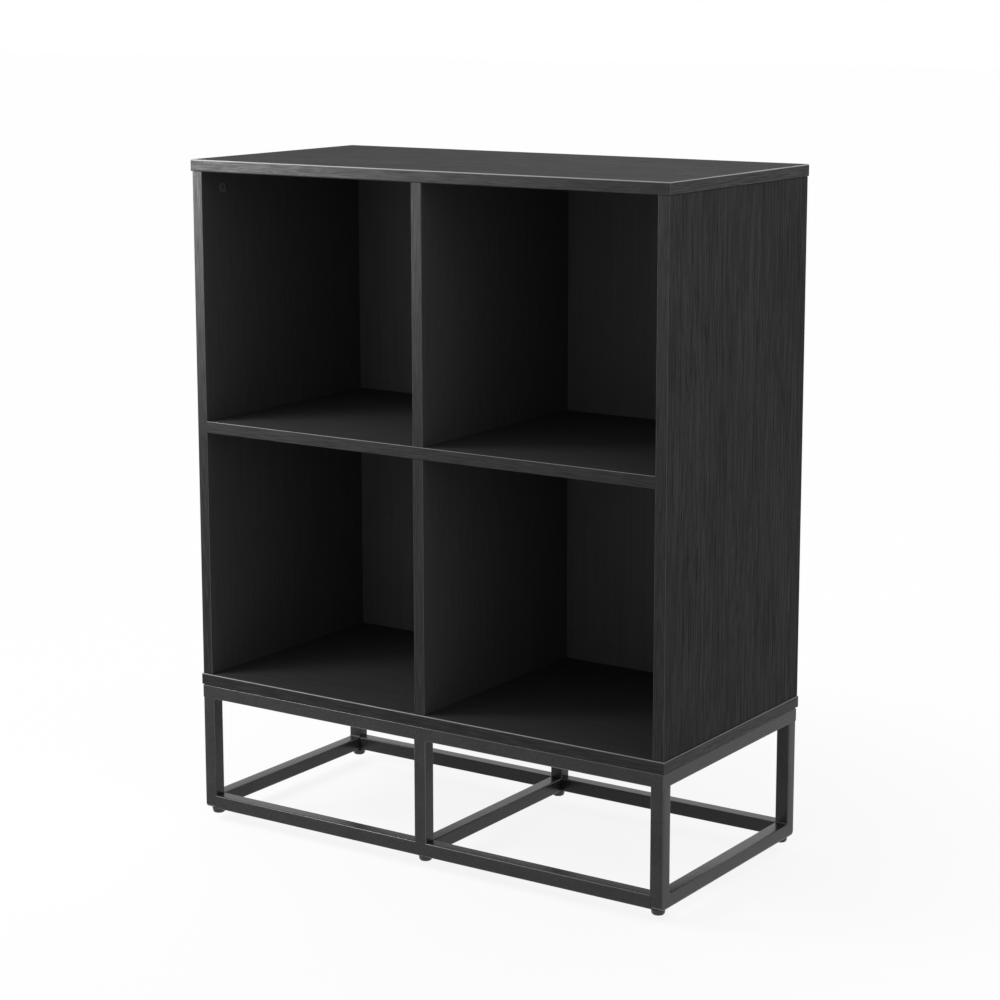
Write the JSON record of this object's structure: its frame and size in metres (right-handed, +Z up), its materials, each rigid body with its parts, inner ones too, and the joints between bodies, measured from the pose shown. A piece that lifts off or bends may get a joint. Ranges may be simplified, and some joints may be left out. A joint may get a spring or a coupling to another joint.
{
  "type": "cube storage unit",
  "caption": "Open cube shelving unit in dark wood-grain board, with full-height dividers, a back panel and a welded square-tube base on levelling feet.",
  "frame": {"origin": "on the floor under the middle of the unit, feet fully screwed in", "axes": "+Z up, the open front faces -Y, +X to the right seen from the front"},
  "size_m": [0.7434, 0.36, 0.917],
  "materials": {
    "laminate": "matt black wood-grain laminate on particle board, grain embossed",
    "hardboard": "matt black printed hardboard",
    "powder_coat": "satin black powder coat on mild steel tube, fine texture",
    "black_zinc": "black passivated zinc",
    "zinc_plate": "bright zinc plate",
    "foot_plastic": "matt black moulded nylon",
    "beech": "raw fluted beech dowel"
  },
  "bodies": {
    "unit": {"top_panel": "laminate", "bottom_panel": "laminate", "left_side_panel": "laminate", "right_side_panel": "laminate", "middle_shelf": "laminate", "upper_divider": "laminate", "lower_divider": "laminate", "back_panel": "hardboard", "left_side_frame": "powder_coat", "right_side_frame": "powder_coat", "left_top_rail": "powder_coat", "right_top_rail": "powder_coat", "front_top_rail": "powder_coat", "rear_top_rail": "powder_coat", "front_bottom_rail": "powder_coat", "rear_bottom_rail": "powder_coat", "front_middle_leg": "powder_coat", "rear_middle_leg": "powder_coat", "middle_bottom_rail": "powder_coat", "cam_lock_front_left": "black_zinc", "cam_lock_rear_left": "black_zinc", "cam_lock_front_right": "black_zinc", "cam_lock_rear_right": "black_zinc", "base_screw_1": "black_zinc", "base_screw_2": "black_zinc", "base_screw_3": "black_zinc", "base_screw_4": "black_zinc", "base_screw_5": "black_zinc", "base_screw_6": "black_zinc", "cam_bolt_front_left": "zinc_plate", "cam_bolt_rear_left": "zinc_plate", "cam_bolt_front_right": "zinc_plate", "cam_bolt_rear_right": "zinc_plate", "panel_screw_1": "zinc_plate", "panel_screw_2": "zinc_plate", "panel_screw_3": "zinc_plate", "panel_screw_4": "zinc_plate", "panel_screw_5": "zinc_plate", "panel_screw_6": "zinc_plate", "shelf_dowel_front_left": "beech", "shelf_dowel_rear_left": "beech", "shelf_dowel_front_right": "beech", "shelf_dowel_rear_right": "beech", "top_dowel_front": "beech", "top_dowel_rear": "beech", "through_dowel_front": "beech", "through_dowel_rear": "beech"},
    "stem_front_left": {"foot_stud_front_left": "zinc_plate"},
    "pad_front_left": {"foot_pad_front_left": "foot_plastic"},
    "stem_front_middle": {"foot_stud_front_middle": "zinc_plate"},
    "pad_front_middle": {"foot_pad_front_middle": "foot_plastic"},
    "stem_front_right": {"foot_stud_front_right": "zinc_plate"},
    "pad_front_right": {"foot_pad_front_right": "foot_plastic"},
    "stem_rear_left": {"foot_stud_rear_left": "zinc_plate"},
    "pad_rear_left": {"foot_pad_rear_left": "foot_plastic"},
    "stem_rear_middle": {"foot_stud_rear_middle": "zinc_plate"},
    "pad_rear_middle": {"foot_pad_rear_middle": "foot_plastic"},
    "stem_rear_right": {"foot_stud_rear_right": "zinc_plate"},
    "pad_rear_right": {"foot_pad_rear_right": "foot_plastic"}
  },
  "joints": [
    {"name": "foot_front_left_height", "type": "slide", "parent": "unit", "child": "stem_front_left", "axis": [0, 0, -1], "range_m": [0, 0.01]},
    {"name": "foot_front_left_turn", "type": "hinge", "parent": "stem_front_left", "child": "pad_front_left", "pos_m": [-0.3575, -0.166, 0.004], "axis": [0, 0, -1], "range_deg": [0, 3600]},
    {"name": "foot_front_middle_height", "type": "slide", "parent": "unit", "child": "stem_front_middle", "axis": [0, 0, -1], "range_m": [0, 0.01]},
    {"name": "foot_front_middle_turn", "type": "hinge", "parent": "stem_front_middle", "child": "pad_front_middle", "pos_m": [0, -0.166, 0.004], "axis": [0, 0, -1], "range_deg": [0, 3600]},
    {"name": "foot_front_right_height", "type": "slide", "parent": "unit", "child": "stem_front_right", "axis": [0, 0, -1], "range_m": [0, 0.01]},
    {"name": "foot_front_right_turn", "type": "hinge", "parent": "stem_front_right", "child": "pad_front_right", "pos_m": [0.3575, -0.166, 0.004], "axis": [0, 0, -1], "range_deg": [0, 3600]},
    {"name": "foot_rear_left_height", "type": "slide", "parent": "unit", "child": "stem_rear_left", "axis": [0, 0, -1], "range_m": [0, 0.01]},
    {"name": "foot_rear_left_turn", "type": "hinge", "parent": "stem_rear_left", "child": "pad_rear_left", "pos_m": [-0.3575, 0.1627, 0.004], "axis": [0, 0, -1], "range_deg": [0, 3600]},
    {"name": "foot_rear_middle_height", "type": "slide", "parent": "unit", "child": "stem_rear_middle", "axis": [0, 0, -1], "range_m": [0, 0.01]},
    {"name": "foot_rear_middle_turn", "type": "hinge", "parent": "stem_rear_middle", "child": "pad_rear_middle", "pos_m": [0, 0.1627, 0.004], "axis": [0, 0, -1], "range_deg": [0, 3600]},
    {"name": "foot_rear_right_height", "type": "slide", "parent": "unit", "child": "stem_rear_right", "axis": [0, 0, -1], "range_m": [0, 0.01]},
    {"name": "foot_rear_right_turn", "type": "hinge", "parent": "stem_rear_right", "child": "pad_rear_right", "pos_m": [0.3575, 0.1627, 0.004], "axis": [0, 0, -1], "range_deg": [0, 3600]}
  ],
  "couplings": [
    {"joint": "foot_front_left_height", "follows": "foot_front_left_turn", "m_per_rad": 0.00015915},
    {"joint": "foot_front_middle_height", "follows": "foot_front_middle_turn", "m_per_rad": 0.00015915},
    {"joint": "foot_front_right_height", "follows": "foot_front_right_turn", "m_per_rad": 0.00015915},
    {"joint": "foot_rear_left_height", "follows": "foot_rear_left_turn", "m_per_rad": 0.00015915},
    {"joint": "foot_rear_middle_height", "follows": "foot_rear_middle_turn", "m_per_rad": 0.00015915},
    {"joint": "foot_rear_right_height", "follows": "foot_rear_right_turn", "m_per_rad": 0.00015915}
  ]
}
